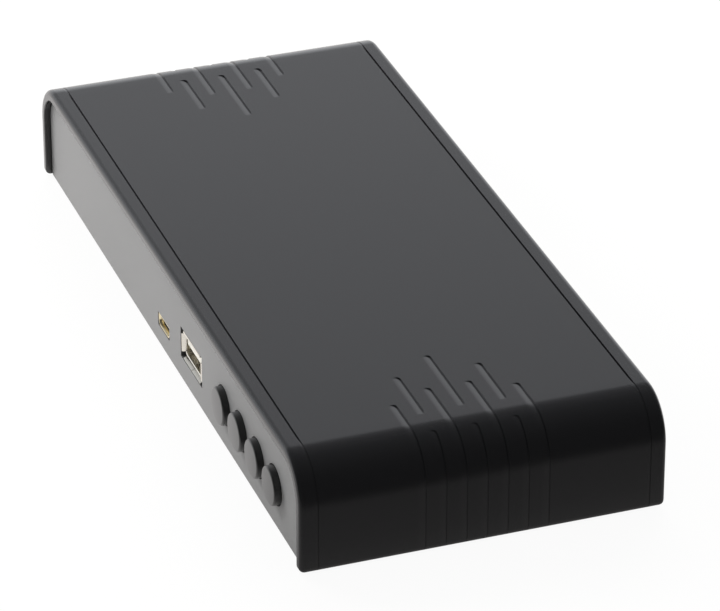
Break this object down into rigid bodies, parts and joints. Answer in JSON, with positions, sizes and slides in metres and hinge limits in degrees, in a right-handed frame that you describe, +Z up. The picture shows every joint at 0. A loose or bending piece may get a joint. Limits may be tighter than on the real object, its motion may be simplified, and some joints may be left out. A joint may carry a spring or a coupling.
{
  "type": "media player box",
  "caption": "Long flat media player box: folded plastic cover with grooved ends over a tray, side panel with USB sockets and push buttons, board and sockets inside.",
  "frame": {"origin": "on the ground under the middle of the box, at the plane of its four feet", "axes": "+X along the length, towards the end beside the buttons; -Y out of the panel with the USB sockets and buttons; +Z up"},
  "size_m": [0.187, 0.0802, 0.0253],
  "materials": {
    "satin_black_plastic": "satin black moulded plastic",
    "black_side_plastic": "satin black moulded plastic",
    "button_plastic": "satin black moulded plastic",
    "foot_rubber": "matt",
    "zinc_plated_steel": "zinc plated",
    "tin_plated_steel": "tin plated, bright",
    "gold_plated_steel": "gold plated",
    "socket_insulator": "matt black",
    "white_insulator": "matt white",
    "switch_plunger_plastic": "matt dark grey",
    "green_board": "lacquered",
    "chip_epoxy": "matt black epoxy",
    "thermal_pad": "soft, matt",
    "anodised_aluminium": "black anodised",
    "capacitor_aluminium": "drawn can, satin",
    "led_lens": "clear tinted",
    "receiver_epoxy": "glossy dark epoxy"
  },
  "bodies": {
    "case": {"top_cover": "satin_black_plastic", "bottom_tray": "black_side_plastic", "foot_1": "foot_rubber", "foot_2": "foot_rubber", "foot_3": "foot_rubber", "foot_4": "foot_rubber", "case_screw_1": "zinc_plated_steel", "case_screw_2": "zinc_plated_steel", "case_screw_3": "zinc_plated_steel", "case_screw_4": "zinc_plated_steel", "board_screw_1": "zinc_plated_steel", "board_screw_2": "zinc_plated_steel", "board_screw_3": "zinc_plated_steel", "board_screw_4": "zinc_plated_steel", "main_board": "green_board", "usb_a_shell": "tin_plated_steel", "usb_a_insulator": "white_insulator", "micro_usb_shell": "gold_plated_steel", "micro_usb_insulator": "socket_insulator", "hdmi_shell": "tin_plated_steel", "hdmi_insulator": "socket_insulator", "av_jack_body": "socket_insulator", "dc_jack_body": "socket_insulator", "dc_jack_pin": "tin_plated_steel", "switch_body_1": "socket_insulator", "switch_body_2": "socket_insulator", "switch_body_3": "socket_insulator", "switch_body_4": "socket_insulator", "status_led": "led_lens", "ir_receiver": "receiver_epoxy", "processor": "chip_epoxy", "thermal_pad": "thermal_pad", "heat_sink": "anodised_aluminium", "memory_chip_1": "chip_epoxy", "memory_chip_2": "chip_epoxy", "flash_chip": "chip_epoxy", "crystal": "capacitor_aluminium", "inductor": "chip_epoxy", "regulator": "chip_epoxy", "capacitor_1": "capacitor_aluminium", "capacitor_2": "capacitor_aluminium"},
    "button_1": {"button_cap_1": "button_plastic", "switch_plunger_1": "switch_plunger_plastic"},
    "button_2": {"button_cap_2": "button_plastic", "switch_plunger_2": "switch_plunger_plastic"},
    "button_3": {"button_cap_3": "button_plastic", "switch_plunger_3": "switch_plunger_plastic"},
    "button_4": {"button_cap_4": "button_plastic", "switch_plunger_4": "switch_plunger_plastic"}
  },
  "joints": [
    {"name": "press_button_1", "type": "slide", "parent": "case", "child": "button_1", "axis": [0, 1, 0], "range_m": [0, 0.0005], "stiffness_N_per_m": 1000},
    {"name": "press_button_2", "type": "slide", "parent": "case", "child": "button_2", "axis": [0, 1, 0], "range_m": [0, 0.0005], "stiffness_N_per_m": 1000},
    {"name": "press_button_3", "type": "slide", "parent": "case", "child": "button_3", "axis": [0, 1, 0], "range_m": [0, 0.0005], "stiffness_N_per_m": 1000},
    {"name": "press_button_4", "type": "slide", "parent": "case", "child": "button_4", "axis": [0, 1, 0], "range_m": [0, 0.0005], "stiffness_N_per_m": 1000}
  ]
}
